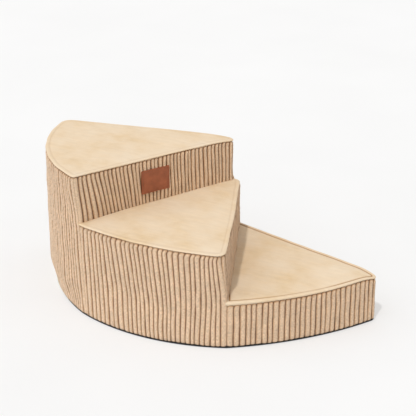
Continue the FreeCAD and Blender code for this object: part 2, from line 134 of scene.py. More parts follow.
# Base
BASE_GAP = 4.0 * MM
CORD_RADIUS = 2.4 * MM
CORD_INSET = 4.5 * MM
CORD_STEP = 4 * MM
SHEET_INSET = 6 * MM
SHEET_TOP = 2.6 * MM
SHEET_RINGS = 14
DOT_RADIUS = 3.2 * MM
DOT_HEIGHT = 0.9 * MM
DOT_SPACING = 20 * MM
DOT_MARGIN = 14 * MM
DOT_SIDES = 8
DOT_DOME = ((1.0, 0.0), (0.8, 0.6), (0.4, 0.93))


# ---- Small tools

def smooth(x):
    """0 below 0, 1 above 1, and an even slope in between."""
    x = np.clip(x, 0.0, 1.0)
    return x * x * (3 - 2 * x)


def unit(v):
    return v / np.linalg.norm(v)


def heading_vector(degrees):
    return np.array([math.cos(math.radians(degrees)), math.sin(math.radians(degrees))])


def ripple(points, seed, wavelength, amplitude, waves=7):
    """A smooth random field: a few plane waves of about one wavelength, added up."""
    rng = np.random.default_rng(seed)
    total = np.zeros(points.shape[:-1])
    for _ in range(waves):
        direction = unit(rng.normal(size=points.shape[-1]))
        length = wavelength * rng.uniform(0.7, 1.5)
        total += np.sin(points @ direction * (2 * math.pi / length) + rng.uniform(0, 2 * math.pi))
    return total * amplitude * math.sqrt(2 / waves)


def wander(rng, count, step, amplitude):
    """A smooth random line of count values that turns about every step values."""
    knots = rng.normal(size=int(count / step) + 4)
    at = np.arange(count) / step + rng.uniform()
    low = at.astype(int)
    share = smooth(at - low)
    return (knots[low] * (1 - share) + knots[low + 1] * share) * amplitude


def cad_points(node):
    return np.array([v.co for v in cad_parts[node].data.vertices])


def raised(spots, height):
    """Plan points as points in space, at one height or at a height each."""
    heights = np.broadcast_to(height, spots.shape[:-1])
    return np.concatenate([spots, heights[..., None]], -1)


# ---- Plan outlines

class Straight:
    """A straight side of an outline that runs counter-clockwise, so its inside is on the left."""

    def __init__(self, start, end):
        self.start = start
        self.along = unit(end - start)
        self.inward = np.array([-self.along[1], self.along[0]])

    def depth(self, p):
        return (p - self.start) @ self.inward

    def slope(self, p):
        return self.inward

    def walk(self, a, b, shares):
        return a + np.outer(shares, b - a)


class Curved:
    """A side that follows a circle, bulging outward."""

    def __init__(self, a, b, c):
        rows = 2 * np.array([b - a, c - a])
        self.centre = np.linalg.solve(rows, [b @ b - a @ a, c @ c - a @ a])
        self.radius = np.linalg.norm(a - self.centre)

    def depth(self, p):
        return self.radius - np.linalg.norm(p - self.centre)

    def slope(self, p):
        return unit(self.centre - p)

    def walk(self, a, b, shares):
        return turn(self.centre, a, b, shares)


def turn(centre, a, b, shares):
    """Points about a centre from a to b, counter-clockwise."""
    first = math.atan2(*(a - centre)[::-1])
    sweep = (math.atan2(*(b - centre)[::-1]) - first) % (2 * math.pi)
    reach = np.linalg.norm(a - centre) + (np.linalg.norm(b - centre) - np.linalg.norm(a - centre)) * shares
    angles = first + sweep * shares
    return centre + np.stack([np.cos(angles), np.sin(angles)], 1) * reach[:, None]


def bowed(start, end, bow):
    """A side from start to end that stands out by bow in its middle."""
    if bow == 0:
        return Straight(start, end)
    along = unit(end - start)
    outward = np.array([along[1], -along[0]])
    return Curved(start, (start + end) / 2 + outward * bow, end)


class Outline:
    """A closed counter-clockwise outline: its sides, and the radius of the corner at the end of each."""

    def __init__(self, sides, corners, radii):
        self.sides, self.corners, self.radii = sides, corners, radii

    def round(self, i, inset=0.0):
        """Centre, radius and the two tangent points of corner i, with the outline drawn in by inset."""
        first, second = self.sides[i], self.sides[(i + 1) % len(self.sides)]
        radius = max(self.radii[i] - inset, 0.6 * MM)
        reach = inset + radius
        centre = self.corners[i] + (first.slope(self.corners[i]) + second.slope(self.corners[i])) * reach
        for _ in range(20):
            gap = reach - np.array([first.depth(centre), second.depth(centre)])
            centre = centre + np.linalg.solve(np.array([first.slope(centre), second.slope(centre)]), gap)
        start = centre - first.slope(centre) * radius
        end = centre - second.slope(centre) * radius
        return centre, radius, start, end

    def side(self, i):
        """Dense points along side i, between the middles of the corners at its ends."""
        before, after = self.round((i - 1) % len(self.sides)), self.round(i)
        half_before = arc_points(before, 0.5, 1.0)
        half_after = arc_points(after, 0.0, 0.5)
        length = np.linalg.norm(after[2] - before[3])
        between = self.sides[i].walk(before[3], after[2], np.linspace(0, 1, int(length / PLAN_STEP) + 2))
        return np.concatenate([half_before[:-1], between, half_after[1:]])

    def loop(self, inset, spacing=LOOP_STEP):
        """The whole outline drawn in by inset, with the same number of points at any inset."""
        parts = []
        for i, side in enumerate(self.sides):
            before, after = self.round((i - 1) % len(self.sides), inset), self.round(i, inset)
            count = max(int(np.linalg.norm(self.corners[i] - self.corners[i - 1]) / spacing), 4)
            parts.append(side.walk(before[3], after[2], np.arange(count) / count))
            parts.append(arc_points(after, 0.0, 1.0, CORNER_STEPS)[:-1])
        return np.concatenate(parts)


def arc_points(corner, first, last, count=None):
    centre, radius, start, end = corner
    if count is None:
        count = max(int(radius / PLAN_STEP), 4)
    return turn(centre, start, end, np.linspace(first, last, count + 1))


def joined(*runs):
    """Several runs of points end to end, without the doubled ones."""
    points = np.concatenate(runs)
    steps = np.linalg.norm(np.diff(points, axis=0), axis=1)
    return points[np.concatenate([[True], steps > 1e-7])]


def lengths_along(points):
    steps = np.linalg.norm(np.diff(points, axis=0), axis=1)
    return np.concatenate([[0.0], np.cumsum(steps)])


def at_length(points, distance):
    """Where a run of plan points has got to at some distances along it."""
    measure = lengths_along(points)
    return np.stack([np.interp(distance, measure, points[:, i]) for i in (0, 1)], -1)


# ---- The frame's own outline

ring = cad_points("base_piping")[:, :2]
APEX = ring[ring[:, 1].argmax()]


def curved_side(node):
    """The first corner, the last corner and the circle of a curved CAD wall."""
    spots = cad_points(node)[:, :2] - APEX
    headings = np.arctan2(spots[:, 1], spots[:, 0]) % (2 * math.pi)
    reach = np.hypot(spots[:, 0], spots[:, 1])
    tolerance = math.radians(0.1)
    low, high = headings.min(), headings.max()
    first = spots[np.where(headings < low + tolerance, reach, 0).argmax()]
    last = spots[np.where(headings > high - tolerance, reach, 0).argmax()]
    middle = spots[np.where(abs(headings - (low + high) / 2) < math.radians(4), reach, 0).argmax()]
    return first + APEX, last + APEX, Curved(first + APEX, middle + APEX, last + APEX)


HIGH_BACK, UPPER, ARC_TOP = curved_side("outer_wall_top")
LOWER, ARC_MIDDLE = curved_side("outer_wall_middle")[1:]
LOW_BACK, ARC_BOTTOM = curved_side("outer_wall_bottom")[1:]
BACK_WAY = unit(HIGH_BACK - APEX)
HEIGHTS = [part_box("rolled_edge_" + step)[1].z for step in ("bottom", "middle", "top")]


class Bent(Straight):
    """A straight side whose first end stands out a little."""

    def __init__(self, start, end, out, reach):
        super().__init__(start, end)
        self.out, self.reach = out, reach

    def lift(self, p):
        return self.out * (1 - smooth((p - self.start) @ self.along / self.reach))

    def depth(self, p):
        return super().depth(p) + self.lift(p)

    def walk(self, a, b, shares):
        level = super().walk(a + self.inward * self.lift(a), b + self.inward * self.lift(b), shares)
        return level - self.inward * self.lift(level)[:, None]


def placed(point, push, slide=0.0):
    """A point moved away from the apex by push and counter-clockwise around it by slide."""
    way = unit(point - APEX)
    return point + way * push + np.array([-way[1], way[0]]) * slide


def outer_sides(pushes, slides):
    """The three curved sides and their four corners, with corners and middles moved by the given amounts."""
    stops = [HIGH_BACK, UPPER, LOWER, LOW_BACK]
    corners = [placed(stops[i], pushes[2 * i], slides[i]) for i in range(4)]
    sides = []
    for i, arc in enumerate([ARC_TOP, ARC_MIDDLE, ARC_BOTTOM]):
        middle = turn(arc.centre, stops[i], stops[i + 1], np.array([0.5]))[0]
        sides.append(Curved(corners[i], placed(middle, pushes[2 * i + 1]), corners[i + 1]))
    return sides, corners


def outline(level, shape, radii, bow=0.0, bend=0.0):
    """The outline of one level, 0 at the floor: in order the high back, the arcs and the side back to the
    apex, which may stand out by bow in its middle or by bend at its outer end."""
    arcs, corners = outer_sides(*shape)
    count = 3 - level
    home = bowed(corners[count], APEX, bow)
    if bend:
        home = Bent(placed(corners[count], 0, -bend), APEX, bend, BEND_REACH)
    sides = [Straight(APEX, corners[0])] + arcs[:count] + [home]
    return Outline(sides, corners[:count + 1] + [APEX], radii)


# How the soft covers stand out of the frame's outline. Pushes, in order round the curve: back corner, arc,
# upper corner, arc, lower corner, arc, low back corner. Slides are those of the four corners.
FLOOR_SHAPE = (np.array([-2, -8, 3, 20, 4, 3, 4]) * MM, np.array([0, 18, 0, 0]) * MM)
WAIST_SHAPE = (np.array([2, 8, 3, 3, 0, 0, 4]) * MM, np.array([0, 15, 0, 0]) * MM)
SHOULDER_SHAPE = (np.array([2, 8, -1, 0, 0, 0, 0]) * MM, np.array([0, 11, -6.5, 0]) * MM)
CROWN_SHAPE = (np.array([2, 8, 5, 0, 0, 0, 0]) * MM, np.array([0, 0, 0, 0]) * MM)

FLOOR_PLAN = outline(0, FLOOR_SHAPE, [CORNER_BACK, SHARP, SHARP, CORNER_LOW_FOOT, TIP_LOW])
LOW_PLAN = outline(0, WAIST_SHAPE, [CORNER_BACK, SHARP, SHARP, CORNER_LOW_BACK, TIP_LOW])
MIDDLE_FOOT_PLAN = outline(1, WAIST_SHAPE, [CORNER_BACK, SHARP, CORNER_MIDDLE_FOOT, TIP_LOW],
                           bow=LOWER_FOOT_BOW)
MIDDLE_PLAN = outline(1, SHOULDER_SHAPE, [CORNER_BACK, SHARP, CORNER_MIDDLE_FRONT, TIP_MIDDLE],
                      bow=LOWER_TOP_BOW)
TOP_FOOT_PLAN = outline(2, SHOULDER_SHAPE, [CORNER_BACK, CORNER_TOP_FRONT, TIP_HIGH], bend=UPPER_FOOT_BEND)
TOP_PLAN = outline(2, CROWN_SHAPE, [CORNER_BACK, CORNER_TOP_FRONT, TIP_HIGH])


def sag(step, spots):
    """How far a tread's soft top stands above its level at plan points; step is 0 for the lowest."""
    reach = np.linalg.norm(spots - APEX, axis=-1)
    if step == 2:
        apex_dip, dip_reach = 13 * MM, 40 * MM
        return -apex_dip * np.exp(-reach / dip_reach)
    if step == 1:
        apex_rise, rim_drop, fan_reach = 5 * MM, 1 * MM, 500 * MM
        return apex_rise * smooth(1 - reach / fan_reach) - rim_drop
    back_rise, corner_droop, droop_reach = 4 * MM, 8 * MM, 32 * MM
    outward = smooth((spots[..., 0] - APEX[0]) / (330 * MM) - 0.2)
    rearward = smooth((spots[..., 1] + 50 * MM) / (150 * MM))
    near_corner = np.exp(-(np.linalg.norm(spots - LOW_BACK, axis=-1) / droop_reach) ** 2)
    return back_rise * outward * rearward - corner_droop * near_corner


def roll(step, spots):
    """The height of a tread's rolled edge at plan points."""
    if step:
        return np.full(spots.shape[:-1], ROLL_SLIM)
    away = np.linalg.norm(spots - LOWER, axis=-1)
    return ROLL_TALL + (ROLL_SLIM - ROLL_TALL) * smooth(away / ROLL_FADE)


def top_at(step, spots):
    return HEIGHTS[step] + sag(step, spots)


def seam_at(step, spots):
    return top_at(step, spots) - roll(step, spots)


# ---- Meshes

def mesh_piece(name, points, faces, material, body="steps", slot=None, values=None):
    """A smooth mesh object that rides on a body; values are float attributes of its points."""
    mesh = bpy.data.meshes.new(name)
    mesh.from_pydata([tuple(p) for p in points], [], [tuple(map(int, f)) for f in faces])
    for key, data in (values or {}).items():
        mesh.attributes.new(key, "FLOAT", "POINT").data.foreach_set("value", np.asarray(data, np.float32))
    mesh.polygons.foreach_set("use_smooth", [True] * len(mesh.polygons))
    mesh.materials.append(material)
    mesh.update()
    piece = bpy.data.objects.new(name, mesh)
    bpy.context.scene.collection.objects.link(piece)
    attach(piece, body)
    return piece


def grid_faces(rows, columns, wrap=False):
    """Quads of a grid whose point numbers run along the columns."""
    numbers = np.arange(rows * columns).reshape(rows, columns)
    if wrap:
        numbers = np.concatenate([numbers, numbers[:, :1]], 1)
    corners = [numbers[:-1, :-1], numbers[:-1, 1:], numbers[1:, 1:], numbers[1:, :-1]]
    return [tuple(quad) for quad in np.stack([c.ravel() for c in corners], 1)]


def grid_normals(grid):
    across = np.gradient(grid, axis=1)
    upward = np.gradient(grid, axis=0)
    normals = np.cross(across, upward)
    return normals / np.maximum(np.linalg.norm(normals, axis=2, keepdims=True), 1e-12)


def turned(faces):
    """The same faces, facing the other way."""
    return [face[::-1] for face in faces]


def fan(first, count, tip):
    """Triangles from a closed row of points to a tip."""
    return [(first + i, first + (i + 1) % count, tip) for i in range(count)]


def strip(first, second):
    """Quads between two rows of point numbers."""
    return list(zip(first[1:], first[:-1], second[:-1], second[1:]))


def capped(rings, last_tip, first_tip):
    """Points and faces of a stack of closed rings, closed by a tip inside the last and inside the first."""
    count, sides = rings.shape[:2]
    points = [*rings.reshape(-1, 3), last_tip, first_tip]
    faces = grid_faces(count, sides, wrap=True) + fan((count - 1) * sides, sides, len(points) - 2)
    return points, faces + turned(fan(0, sides, len(points) - 1))


def sweep(path, radius, axis, sides=6, closed=False):
    """Points and faces of a round tube along a path; the axis must never lie along it."""
    if closed:
        ahead = np.roll(path, -1, 0) - np.roll(path, 1, 0)
    else:
        ahead = np.gradient(path, axis=0)
    across = np.cross(ahead, axis)
    across /= np.linalg.norm(across, axis=1, keepdims=True)
    upward = np.cross(across, ahead)
    upward /= np.linalg.norm(upward, axis=1, keepdims=True)
    radius = np.broadcast_to(radius, len(path))[:, None]
    angles = np.linspace(0, 2 * math.pi, sides, endpoint=False)
    rings = np.stack([path + (across * math.cos(a) + upward * math.sin(a)) * radius for a in angles], 1)
    if not closed:
        return capped(rings, path[-1], path[0])
    total = len(path) * sides
    faces = [tuple(i % total for i in face) for face in grid_faces(len(path) + 1, sides, wrap=True)]
    return list(rings.reshape(-1, 3)), faces


def merged(parts):
    """Several point and face lists as one."""
    points, faces = [], []
    for part_points, part_faces in parts:
        first = len(points)
        points += list(part_points)
        faces += [tuple(first + i for i in face) for face in part_faces]
    return points, faces


# ---- Corduroy walls

class Wall:
    """A stretch of wall: its plan curve at some heights, and where on it the panel starts and ends."""

    def __init__(self, keys, anchor="start"):
        self.heights = np.array([k[0] for k in keys])
        self.curves = [k[1] for k in keys]
        self.spans = np.array([[k[2], k[3]] for k in keys])
        self.anchor = anchor
        self.length = (self.spans[:, 1] - self.spans[:, 0]).max()

    def place(self, key, along):
        """Plan point and inward direction at a distance along the panel, on one of the curves."""
        start, end = self.spans[key]
        short = (end - start) - self.length
        if self.anchor == "start":
            at = start + along + short * smooth((along - self.length + SETTLE) / SETTLE)
        else:
            back = self.length - along
            at = end - back - short * smooth((back - self.length + SETTLE) / SETTLE)
        curve = self.curves[key]
        inside = np.clip(at, TANGENT_STEP, lengths_along(curve)[-1] - TANGENT_STEP)
        tangent = at_length(curve, inside + TANGENT_STEP) - at_length(curve, inside - TANGENT_STEP)
        tangent /= np.linalg.norm(tangent, axis=-1, keepdims=True)
        return at_length(curve, at), np.stack([-tangent[..., 1], tangent[..., 0]], -1)

    def plan(self, along, height):
        """Plan points and inward directions for grids of distance along and height."""
        share = np.interp(height, self.heights, np.arange(len(self.heights)))
        share = np.floor(share) + smooth(share - np.floor(share))
        points = np.zeros(along.shape + (2,))
        inward = np.zeros(along.shape + (2,))
        for key in range(len(self.heights)):
            weight = np.clip(1 - abs(share - key), 0, 1)
            if weight.max() > 0:
                point, direction = self.place(key, along)
                points += point * weight[..., None]
                inward += direction * weight[..., None]
        return points, inward / np.linalg.norm(inward, axis=-1, keepdims=True)


def wall_profile(tall, foot_curl, top_curl):
    """Inset and height of a panel's rows: rolled in at the foot, straight, and rolled in at the top."""
    quarter = np.linspace(0, math.pi / 2, CURL_ROWS)
    foot = [(foot_curl * (1 - math.sin(a)), foot_curl * (1 - math.cos(a))) for a in quarter]
    top = [(top_curl * (1 - math.cos(a)), tall - top_curl * (1 - math.sin(a))) for a in quarter]
    rows = max(int((tall - top_curl - foot_curl) / ROW_STEP), 2)
    middle = [(0.0, z) for z in np.linspace(foot_curl, tall - top_curl, rows + 1)]
    return np.array(foot[:-1] + middle + top[1:])


def wale_shape(share, slimness):
    """Height of one cord across its width, from groove to groove; the slimmer it is, the wider the grooves."""
    return (1 - np.abs(2 * share - 1) ** WALE_POWER) ** slimness


def closed_panel(front, behind, keep):
    """A front grid closed by a plain back, which has whole rows only at keep, as points and faces."""
    rows, wide = front.shape[:2]
    numbers = np.arange(rows * wide).reshape(rows, wide)
    hidden = np.full((rows, wide), -1)
    points = list(front.reshape(-1, 3))
    for j in range(rows):
        for i in range(wide) if j in keep else (0, wide - 1):
            hidden[j, i] = len(points)
            points.append(behind[j, i])
    faces = grid_faces(rows, wide)
    faces += strip(numbers[0], hidden[0]) + turned(strip(numbers[-1], hidden[-1]))
    faces += turned(strip(numbers[:, 0], hidden[:, 0])) + strip(numbers[:, -1], hidden[:, -1])
    for a, b in zip(keep[:-1], keep[1:]):
        posts = [[hidden[a, i], hidden[b, i]] for i in range(wide)]
        posts[0], posts[-1] = list(hidden[a:b + 1, 0]), list(hidden[a:b + 1, -1])
        faces += [tuple(left + right[::-1]) for left, right in zip(posts[:-1], posts[1:])]
    return points, faces


# tone scales the painted shade of a whole panel: below 1 the panel is painted darker because it gets less
# light, above 1 lighter
def corduroy(name, wall, foot, head, pitch, seed, lean=None, hook=0.0, tone=1.0, slimness=FULL_CORD,
             foot_curl=FOOT_CURL, top_curl=TOP_CURL):
    """A closed corduroy panel whose mesh columns follow the cords. Foot and head give its edges' heights at
    plan points, and lean says how far a cord has moved along the wall at a share of its length and a height.
    The hook bends the cords' upper ends over."""
    rng = np.random.default_rng(seed)
    count = int(round(wall.length / pitch))
    edges = np.concatenate([[0], np.cumsum(rng.uniform(*WALE_WIDTHS, count))])
    edges *= wall.length / edges[-1]
    shares = np.array(WALE_COLUMNS)
    columns = np.append((edges[:-1, None] + np.diff(edges)[:, None] * shares).ravel(), edges[-1])
    relief = np.append(np.tile(wale_shape(shares, slimness), count), 0.0)
    owner = np.append(np.repeat(np.arange(count), len(shares)), count - 1)

    low, high = [edge(wall.plan(columns, np.full(columns.shape, level))[0])
                 for edge, level in ((foot, wall.heights[0]), (head, wall.heights[-1]))]
    tall = (high - low).mean()
    inset, height = wall_profile(tall, foot_curl, top_curl).T
    rows = len(height)
    climb = np.tile(height[:, None], (1, len(columns)))
    z = low + climb * (high - low) / tall

    along = np.tile(columns, (rows, 1))
    free = smooth(along / END_HOLD) * smooth((wall.length - along) / END_HOLD)
    if lean is not None:
        along = along + lean(along / wall.length, z)
    along = along + hook * smooth((climb - tall + HOOK_FROM) / HOOK_OVER) ** 1.5 * free
    waver = np.stack([wander(rng, rows, 11, WAVER) for _ in range(count + 1)])
    drift = wander(rng, rows, 40, DRIFT)[:, None]
    along = along + (waver[owner].T + drift) * free
    plan_points, inward = wall.plan(along, z)
    spots = raised(plan_points, z)
    depth = inset[:, None] + WALE_HEIGHT - WALE_PROUD + ripple(spots, seed + 1, 90 * MM, BILLOW) * free
    to_end = np.minimum(columns, wall.length - columns)
    depth = depth + END_VALLEY * (1 - smooth(to_end / END_VALLEY_WIDTH))
    grid = raised(plan_points + inward * depth[..., None], z)

    uneven = np.stack([wander(rng, rows, 9, 0.10) for _ in range(count)])
    uneven = 1 + uneven[owner].T + rng.uniform(-0.10, 0.06, count)[owner]
    ends = 0.35 + 0.65 * smooth(climb / LOW_AT_FOOT) * smooth((tall - climb) / LOW_AT_TOP)
    lift = relief * uneven * ends * WALE_HEIGHT + ripple(spots, seed + 2, 7 * MM, FUZZ, 11) * relief
    front = grid + grid_normals(grid) * lift[..., None]

    middle_z = z[:, len(columns) // 2]
    keep = sorted({0, rows - 1, *(int(np.abs(middle_z - level).argmin()) for level in wall.heights)})
    points, faces = closed_panel(front, raised(plan_points + inward * SHELL, z), keep)
    # Painted shade: the cords' colour goes dark just under the tread's seam, and partly at the foot, where
    # shade falls
    shade = smooth((tall - climb) / DARK_AT_TOP) * (0.4 + 0.6 * smooth(climb / DARK_AT_FOOT))
    # The values stored on the points are painted shade for the colour: low in the grooves, at the cords' ends
    # and under the seams, and high on the crests
    crest = np.clip(relief * ends * shade * tone, 0, 1).ravel()
    values = np.concatenate([crest, np.zeros(len(points) - len(crest))])
    return mesh_piece(name, points, faces, CORDUROY, slot="corduroy", values={"wale_shade": values})


# ---- Treads

def rim_rows():
    """The rolled edge from under it to the flat: inset, share of the roll's height, share of its groove."""
    rows = [(ROLL_WIDTH / 2 * (1 - math.cos(a)), (math.sin(a) - 1) / 2, 0.0)
            for a in np.linspace(ROLL_START, 0.5 * math.pi, 9)]
    rows += [(ROLL_WIDTH / 2 * (1 - math.cos(a)), 0.0, math.sin(a) - 1)
             for a in np.linspace(0.5 * math.pi, math.pi, 5)[1:]]
    rows += [(ROLL_WIDTH + share * SEAM_FADE, 0.0, -(1 - smooth(share)) * 0.8)
             for share in (0.2, 0.45, 0.7, 1.0)]
    return rows


def groove_at(step, spots):
    """How deep the seam line inside a tread's rolled edge is, at plan points of its outline."""
    if step:
        return np.full(len(spots), GROOVE_SLIM)
    away = np.linalg.norm(spots - LOWER, axis=-1)
    front = GROOVE_DEEP - (GROOVE_DEEP - GROOVE_FRONT) * smooth(away / (300 * MM))
    behind = smooth((spots[:, 1] + 60 * MM) / (90 * MM))
    return front * (1 - behind) + GROOVE_DEEP * behind


def tread(name, step, plan, seed):
    """A suede tread over its foam: a rolled edge, a seam line inside it, and a softly crowned top."""
    groove = groove_at(step, plan.loop(0.0))
    rings, seam_shade = [], []
    for inset, roll_share, groove_share in rim_rows():
        loop = plan.loop(inset)
        height = top_at(step, loop) + roll_share * roll(step, loop) + groove_share * groove
        rings.append(raised(loop, height))
        # Painted shade in the seam line's groove, darker where the groove is deeper
        seam_shade.append(groove / (2 * MM) * math.exp(-((inset - ROLL_WIDTH - SEAM_OFFSET) / SEAM_WIDTH) ** 2))
    rim = len(rings)
    last = rings[-1][:, :2]
    centre = last.mean(0)
    for share in np.linspace(0, 1, RINGS)[1:-1]:
        loop = last + (centre - last) * share
        rings.append(raised(loop, top_at(step, loop) + TREAD_CROWN * (1 - (1 - share) ** 2.2)))
        seam_shade.append(np.zeros(len(loop)))
    under = plan.loop(SHELL)
    grid = np.array([raised(under, top_at(step, under) - PAD_DEPTH)] + rings)
    seam_shade = np.array([np.zeros(len(under))] + seam_shade)
    soft = smooth((np.arange(len(grid)) - rim + 3) / 8)[:, None]
    waves = ripple(grid, seed, 130 * MM, 0.5 * MM) + ripple(grid, seed + 1, 45 * MM, 0.18 * MM)
    pull = ripple(grid, seed + 2, 60 * MM, 0.35 * MM)
    grid[..., 2] += soft * waves
    grid[1:, :, :2] += ((1 - soft) * pull)[1:, :, None]
    middle = top_at(step, centre)
    points, faces = capped(grid, raised(centre, middle + TREAD_CROWN), raised(centre, middle - PAD_DEPTH))
    values = np.concatenate([seam_shade.ravel(), [0, 0]])
    cover = mesh_piece(name, points, faces, SUEDE, slot="suede", values={"seam_shade": values})
    return cover


# ---- Materials

class Shader:
    """A material with one Principled shader and short ways to add nodes in front of it."""

    def __init__(self, name, **inputs):
        self.material = bpy.data.materials.new(name)
        self.material.use_nodes = True
        self.tree = self.material.node_tree
        self.principled = self.tree.nodes["Principled BSDF"]
        for key, value in inputs.items():
            self.principled.inputs[key.replace("_", " ").title()].default_value = value
        self.place = self.add("ShaderNodeTexCoord").outputs["Object"]

    def add(self, kind, links=None, **settings):
        node = self.tree.nodes.new(kind)
        for key, value in settings.items():
            setattr(node, key, value)
        for key, value in (links or {}).items():
            self.feed(node.inputs[key], value)
        return node

    def feed(self, socket, value):
        if isinstance(value, bpy.types.NodeSocket):
            self.tree.links.new(value, socket)
        else:
            socket.default_value = value

    def noise(self, scale, detail=3.0, stretch=None, rough=0.5):
        where = self.place
        if stretch:
            where = self.add("ShaderNodeMapping", {"Vector": where, "Scale": stretch}).outputs["Vector"]
        return self.add("ShaderNodeTexNoise", {"Vector": where, "Scale": scale, "Detail": detail,
                                               "Roughness": rough}).outputs["Fac"]

    def ramp(self, value, stops):
        """A colour ramp: stops are (position, colour) or (position, grey)."""
        node = self.add("ShaderNodeValToRGB", {"Fac": value})
        elements = node.color_ramp.elements
        while len(elements) < len(stops):
            elements.new(0.5)
        for element, (position, colour) in zip(elements, stops):
            element.position = position
            element.color = (*colour, 1) if isinstance(colour, tuple) else (colour, colour, colour, 1)
        return node.outputs["Color"]

    def mix(self, share, a, b, blend="MIX"):
        node = self.add("ShaderNodeMix", data_type="RGBA", blend_type=blend)
        self.feed(node.inputs["Factor"], share)
        for socket, value in ((node.inputs[6], a), (node.inputs[7], b)):
            self.feed(socket, (*value, 1) if isinstance(value, tuple) else value)
        return node.outputs[2]

    def math(self, operation, a, b):
        node = self.add("ShaderNodeMath", operation=operation)
        self.feed(node.inputs[0], a)
        self.feed(node.inputs[1], b)
        return node.outputs[0]

    def times(self, a, b):
        return self.mix(1.0, a, b, "MULTIPLY")

    def blotches(self, scale, detail, low, high):
        """Soft patches between two colours or greys."""
        return self.ramp(self.noise(scale, detail), [(0.3, low), (0.7, high)])

    def cells(self, scale):
        return self.add("ShaderNodeTexVoronoi", {"Vector": self.place, "Scale": scale}).outputs["Distance"]

    def share(self, name):
        """A float attribute of the mesh's points."""
        return self.add("ShaderNodeAttribute", attribute_name=name).outputs["Fac"]

    def colour(self, value):
        self.feed(self.principled.inputs["Base Color"], value)

    def bump(self, height, distance, strength=1.0, under=None):
        links = {"Height": height, "Distance": distance, "Strength": strength}
        if under is not None:
            links["Normal"] = under
        normal = self.add("ShaderNodeBump", links).outputs["Normal"]
        self.feed(self.principled.inputs["Normal"], normal)
        return normal


def srgb(red, green, blue):
    """A colour given as it looks on screen, from 0 to 255."""
    return tuple(((c / 255 + 0.055) / 1.055) ** 2.4 for c in (red, green, blue))


def corduroy_material():
    shader = Shader("corduroy", roughness=0.92, sheen_weight=0.5, sheen_roughness=0.4)
    shader.principled.inputs["Sheen Tint"].default_value = (*srgb(255, 244, 232), 1)
    # The attribute read here is painted shade: the ramp below gives the cords' own tan, darkened in the
    # grooves and under the seams where shade falls and lighter on the crests; the tufts add real fuzz
    wale_shade = shader.share("wale_shade")
    tufts = shader.noise(330, 4, (1, 1, 0.7), 0.75)
    shade_and_tufts = shader.math("ADD", wale_shade, shader.math("MULTIPLY", shader.math("SUBTRACT", tufts, 0.5), 0.55))
    cord = shader.ramp(shade_and_tufts, [(0.05, srgb(92, 56, 29)), (0.36, srgb(170, 122, 80)),
                              (0.72, srgb(226, 186, 147)), (0.95, srgb(246, 213, 178))])
    patches = shader.blotches(30, 3, 0.92, 1.06)
    knots = shader.cells(560)
    fuzz = shader.ramp(knots, [(0.1, 1.0), (0.75, 0.74)])
    speckle = shader.ramp(shader.noise(270, 3, (1, 1, 0.8), 0.8), [(0.36, 0.93), (0.62, 1.22)])
    shader.colour(shader.times(shader.times(shader.times(cord, patches), fuzz), speckle))
    pile = shader.bump(tufts, 0.0022, 0.9)
    knotted = shader.bump(shader.math("SUBTRACT", 1.0, knots), 0.0016, 0.8, pile)
    shader.bump(shader.noise(1700, 4, None, 0.75), 0.0010, 0.9, knotted)
    return shader.material


def suede_material():
    shader = Shader("suede", roughness=0.9, sheen_weight=0.3, sheen_roughness=0.35)
    shader.principled.inputs["Sheen Tint"].default_value = (*srgb(255, 246, 232), 1)
    nap = shader.noise(9, 5, None, 0.62)
    base = shader.ramp(nap, [(0.3, srgb(221, 193, 153)), (0.5, srgb(228, 205, 174)),
                             (0.72, srgb(231, 212, 186))])
    strokes = shader.ramp(shader.noise(55, 4, (0.35, 1.6, 1), 0.6), [(0.3, 0.955), (0.7, 1.025)])
    surface = shader.times(shader.times(base, strokes), shader.blotches(1500, 2, 0.96, 1.02))
    # Painted shade: the suede goes darker brown in the seam line's groove
    seam_shade = shader.share("seam_shade")
    shader.colour(shader.mix(shader.math("MULTIPLY", seam_shade, 0.72), surface, srgb(164, 120, 74)))
    nap_bump = shader.bump(shader.noise(1900, 3), 0.0003, 0.6)
    shader.bump(shader.noise(70, 4, (0.4, 1.4, 1)), 0.0012, 0.25, nap_bump)
    return shader.material


def leather_material():
    shader = Shader("leather", roughness=0.52)
    tone = shader.blotches(60, 4, srgb(138, 74, 43), srgb(160, 88, 54))
    fleck = shader.ramp(shader.noise(700, 3), [(0.35, 0.93), (0.7, 1.05)])
    shader.colour(shader.times(tone, fleck))
    shader.bump(shader.cells(900), 0.0004, 0.5)
    return shader.material


def woven_material(name, dark, light, roughness, pitch):
    shader = Shader(name, roughness=roughness, sheen_weight=0.1)
    tone = shader.blotches(140, 3, dark, light)
    threads = shader.add("ShaderNodeTexChecker", {"Vector": shader.place, "Scale": 1 / pitch}).outputs["Fac"]
    shader.colour(shader.times(tone, shader.ramp(threads, [(0.0, 0.82), (1.0, 1.0)])))
    under = shader.bump(threads, 0.0003, 0.7)
    shader.bump(shader.noise(1800, 2), 0.0002, 0.5, under)
    return shader.material


def foam_material():
    shader = Shader("foam", roughness=0.95)
    shader.colour(shader.blotches(25, 3, srgb(222, 212, 186), srgb(238, 230, 208)))
    shader.bump(shader.cells(700), 0.0008, 0.7)
    return shader.material


def plastic_material():
    shader = Shader("zip_plastic", roughness=0.38)
    shader.colour(shader.blotches(300, 2, srgb(196, 160, 120), srgb(210, 176, 138)))
    shader.bump(shader.noise(2500, 2), 0.0001, 0.3)
    return shader.material


def metal_material():
    shader = Shader("zip_metal", metallic=1.0)
    shader.colour(shader.blotches(200, 3, srgb(186, 152, 104), srgb(214, 184, 138)))
    rough = shader.add("ShaderNodeMapRange", {"Value": shader.noise(900, 3), "To Min": 0.22, "To Max": 0.42})
    shader.feed(shader.principled.inputs["Roughness"], rough.outputs["Result"])
    shader.bump(shader.noise(1600, 2, (4, 4, 0.3)), 0.00008, 0.4)
    return shader.material


